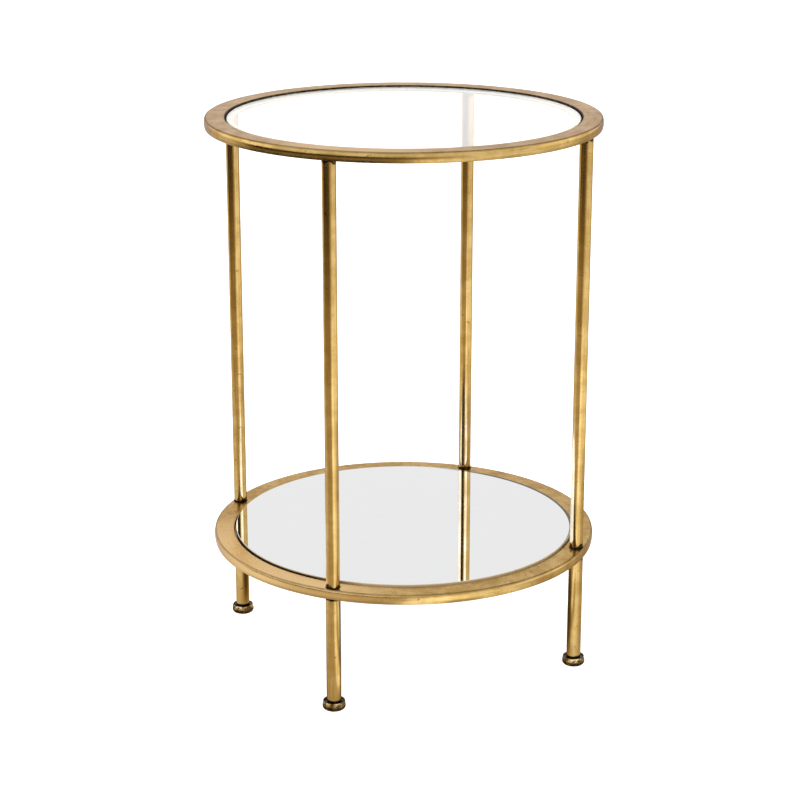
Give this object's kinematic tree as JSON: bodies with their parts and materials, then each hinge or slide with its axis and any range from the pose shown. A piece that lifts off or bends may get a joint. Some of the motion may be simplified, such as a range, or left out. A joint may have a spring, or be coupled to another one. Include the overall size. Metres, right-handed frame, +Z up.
{
  "type": "tiered side table",
  "caption": "Round tiered side table: aged gold hoops on slender round posts hold an inset clear glass top and a mirror shelf, on short legs with turned levelling feet.",
  "frame": {"origin": "on the floor, on the table's vertical axis", "axes": "+Z up; -Y is the front; the posts stand on the diagonals between X and Y"},
  "size_m": [0.38, 0.38, 0.54],
  "materials": {
    "aged_gold": "aged gold, satin gloss, dark patina at the joints",
    "clear_glass": "polished, with ground edges",
    "silvered_mirror": "polished",
    "plain_steel": "zinc plated",
    "clear_silicone": "clear, soft",
    "grey_film": "matt woven film",
    "black_plastic": "matt"
  },
  "bodies": {
    "frame": {"top_ring": "aged_gold", "top_ledge": "aged_gold", "lower_ring": "aged_gold", "lower_ledge": "aged_gold", "post_back_right": "aged_gold", "post_back_left": "aged_gold", "post_front_left": "aged_gold", "post_front_right": "aged_gold", "leg_back_right": "aged_gold", "leg_back_left": "aged_gold", "leg_front_left": "aged_gold", "leg_front_right": "aged_gold", "top_studs": "plain_steel", "joining_studs": "plain_steel", "post_top_plugs": "plain_steel", "post_bottom_plugs": "plain_steel", "leg_top_plugs": "plain_steel", "leg_bottom_plugs": "plain_steel", "glass_bumpers": "clear_silicone", "mirror_bumpers": "clear_silicone"},
    "glass_top": {"top_glass": "clear_glass"},
    "mirror_shelf": {"mirror_pane": "silvered_mirror", "mirror_film": "grey_film"},
    "levelling_screw_back_right": {"foot_stud_back_right": "plain_steel"},
    "levelling_foot_back_right": {"foot_back_right": "aged_gold", "foot_glide_back_right": "black_plastic"},
    "levelling_screw_back_left": {"foot_stud_back_left": "plain_steel"},
    "levelling_foot_back_left": {"foot_back_left": "aged_gold", "foot_glide_back_left": "black_plastic"},
    "levelling_screw_front_left": {"foot_stud_front_left": "plain_steel"},
    "levelling_foot_front_left": {"foot_front_left": "aged_gold", "foot_glide_front_left": "black_plastic"},
    "levelling_screw_front_right": {"foot_stud_front_right": "plain_steel"},
    "levelling_foot_front_right": {"foot_front_right": "aged_gold", "foot_glide_front_right": "black_plastic"}
  },
  "joints": [
    {"name": "glass_lift", "type": "slide", "parent": "frame", "child": "glass_top", "axis": [0, 0, 1], "range_m": [0, 0.06]},
    {"name": "mirror_lift", "type": "slide", "parent": "frame", "child": "mirror_shelf", "axis": [0, 0, 1], "range_m": [0, 0.06]},
    {"name": "foot_travel_back_right", "type": "slide", "parent": "frame", "child": "levelling_screw_back_right", "axis": [0, 0, -1], "range_m": [0, 0.008]},
    {"name": "foot_turn_back_right", "type": "hinge", "parent": "levelling_screw_back_right", "child": "levelling_foot_back_right", "pos_m": [0.12834, 0.12834, 0.005], "axis": [0, 0, -1], "range_deg": [0, 3600]},
    {"name": "foot_travel_back_left", "type": "slide", "parent": "frame", "child": "levelling_screw_back_left", "axis": [0, 0, -1], "range_m": [0, 0.008]},
    {"name": "foot_turn_back_left", "type": "hinge", "parent": "levelling_screw_back_left", "child": "levelling_foot_back_left", "pos_m": [-0.12834, 0.12834, 0.005], "axis": [0, 0, -1], "range_deg": [0, 3600]},
    {"name": "foot_travel_front_left", "type": "slide", "parent": "frame", "child": "levelling_screw_front_left", "axis": [0, 0, -1], "range_m": [0, 0.008]},
    {"name": "foot_turn_front_left", "type": "hinge", "parent": "levelling_screw_front_left", "child": "levelling_foot_front_left", "pos_m": [-0.12834, -0.12834, 0.005], "axis": [0, 0, -1], "range_deg": [0, 3600]},
    {"name": "foot_travel_front_right", "type": "slide", "parent": "frame", "child": "levelling_screw_front_right", "axis": [0, 0, -1], "range_m": [0, 0.008]},
    {"name": "foot_turn_front_right", "type": "hinge", "parent": "levelling_screw_front_right", "child": "levelling_foot_front_right", "pos_m": [0.12834, -0.12834, 0.005], "axis": [0, 0, -1], "range_deg": [0, 3600]}
  ],
  "couplings": [
    {"joint": "foot_travel_back_right", "follows": "foot_turn_back_right", "m_per_rad": 0.000127},
    {"joint": "foot_travel_back_left", "follows": "foot_turn_back_left", "m_per_rad": 0.000127},
    {"joint": "foot_travel_front_left", "follows": "foot_turn_front_left", "m_per_rad": 0.000127},
    {"joint": "foot_travel_front_right", "follows": "foot_turn_front_right", "m_per_rad": 0.000127}
  ]
}
